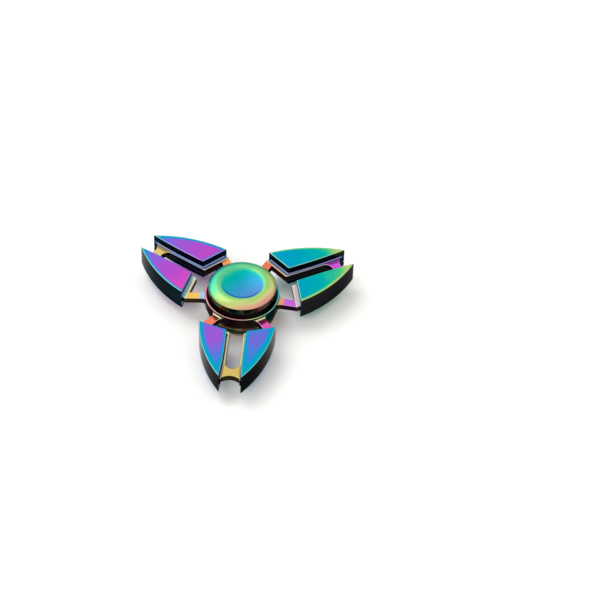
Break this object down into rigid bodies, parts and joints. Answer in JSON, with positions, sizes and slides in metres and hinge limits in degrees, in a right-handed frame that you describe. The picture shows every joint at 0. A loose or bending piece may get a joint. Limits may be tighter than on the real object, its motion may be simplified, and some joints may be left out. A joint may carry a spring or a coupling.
{
  "type": "fidget spinner",
  "caption": "Three-armed claw-shaped fidget spinner with a rainbow-plated cast body on a shielded ball bearing, held between two dished finger caps.",
  "frame": {"origin": "centre of the ball bearing, on the spin axis and on the body's mid-plane, which is also the centre of mass", "axes": "+Z along the spin axis towards the upper finger cap; one arm points along -Y, the others at 30 and 150 degrees from +X"},
  "size_m": [0.0756, 0.0659, 0.0152],
  "materials": {
    "rainbow_plating": "polished",
    "cap_plating": "polished",
    "bearing_steel": "polished",
    "ball_steel": "polished",
    "pressed_steel": "satin",
    "spring_steel": "satin"
  },
  "bodies": {
    "core": {"upper_cap": "cap_plating", "lower_cap": "cap_plating", "bearing_inner_ring": "bearing_steel"},
    "rotor": {"spinner_body": "rainbow_plating", "bearing_outer_ring": "bearing_steel", "upper_shield": "pressed_steel", "lower_shield": "pressed_steel", "upper_snap_ring": "spring_steel", "lower_snap_ring": "spring_steel"},
    "cage": {"cage_upper_half": "pressed_steel", "cage_lower_half": "pressed_steel", "cage_rivet_1": "pressed_steel", "cage_rivet_2": "pressed_steel", "cage_rivet_3": "pressed_steel", "cage_rivet_4": "pressed_steel", "cage_rivet_5": "pressed_steel", "cage_rivet_6": "pressed_steel", "cage_rivet_7": "pressed_steel"},
    "ball_1": {"bearing_ball_1": "ball_steel"},
    "ball_2": {"bearing_ball_2": "ball_steel"},
    "ball_3": {"bearing_ball_3": "ball_steel"},
    "ball_4": {"bearing_ball_4": "ball_steel"},
    "ball_5": {"bearing_ball_5": "ball_steel"},
    "ball_6": {"bearing_ball_6": "ball_steel"},
    "ball_7": {"bearing_ball_7": "ball_steel"}
  },
  "joints": [
    {"name": "rotor_spin", "type": "hinge", "parent": "core", "child": "rotor", "pos_m": [0, 0, 0], "axis": [0, 0, 1], "continuous": true},
    {"name": "cage_orbit", "type": "hinge", "parent": "core", "child": "cage", "pos_m": [0, 0, 0], "axis": [0, 0, 1], "continuous": true},
    {"name": "ball_1_roll", "type": "hinge", "parent": "cage", "child": "ball_1", "pos_m": [0.0075, 0, 0], "axis": [0, 0, 1], "continuous": true},
    {"name": "ball_2_roll", "type": "hinge", "parent": "cage", "child": "ball_2", "pos_m": [0.00468, 0.00586, 0], "axis": [0, 0, 1], "continuous": true},
    {"name": "ball_3_roll", "type": "hinge", "parent": "cage", "child": "ball_3", "pos_m": [-0.00167, 0.00731, 0], "axis": [0, 0, 1], "continuous": true},
    {"name": "ball_4_roll", "type": "hinge", "parent": "cage", "child": "ball_4", "pos_m": [-0.00676, 0.00325, 0], "axis": [0, 0, 1], "continuous": true},
    {"name": "ball_5_roll", "type": "hinge", "parent": "cage", "child": "ball_5", "pos_m": [-0.00676, -0.00325, 0], "axis": [0, 0, 1], "continuous": true},
    {"name": "ball_6_roll", "type": "hinge", "parent": "cage", "child": "ball_6", "pos_m": [-0.00167, -0.00731, 0], "axis": [0, 0, 1], "continuous": true},
    {"name": "ball_7_roll", "type": "hinge", "parent": "cage", "child": "ball_7", "pos_m": [0.00468, -0.00586, 0], "axis": [0, 0, 1], "continuous": true}
  ],
  "couplings": [
    {"joint": "cage_orbit", "follows": "rotor_spin", "ratio": 0.6323},
    {"joint": "ball_1_roll", "follows": "rotor_spin", "ratio": 1.7573},
    {"joint": "ball_2_roll", "follows": "rotor_spin", "ratio": 1.7573},
    {"joint": "ball_3_roll", "follows": "rotor_spin", "ratio": 1.7573},
    {"joint": "ball_4_roll", "follows": "rotor_spin", "ratio": 1.7573},
    {"joint": "ball_5_roll", "follows": "rotor_spin", "ratio": 1.7573},
    {"joint": "ball_6_roll", "follows": "rotor_spin", "ratio": 1.7573},
    {"joint": "ball_7_roll", "follows": "rotor_spin", "ratio": 1.7573}
  ]
}
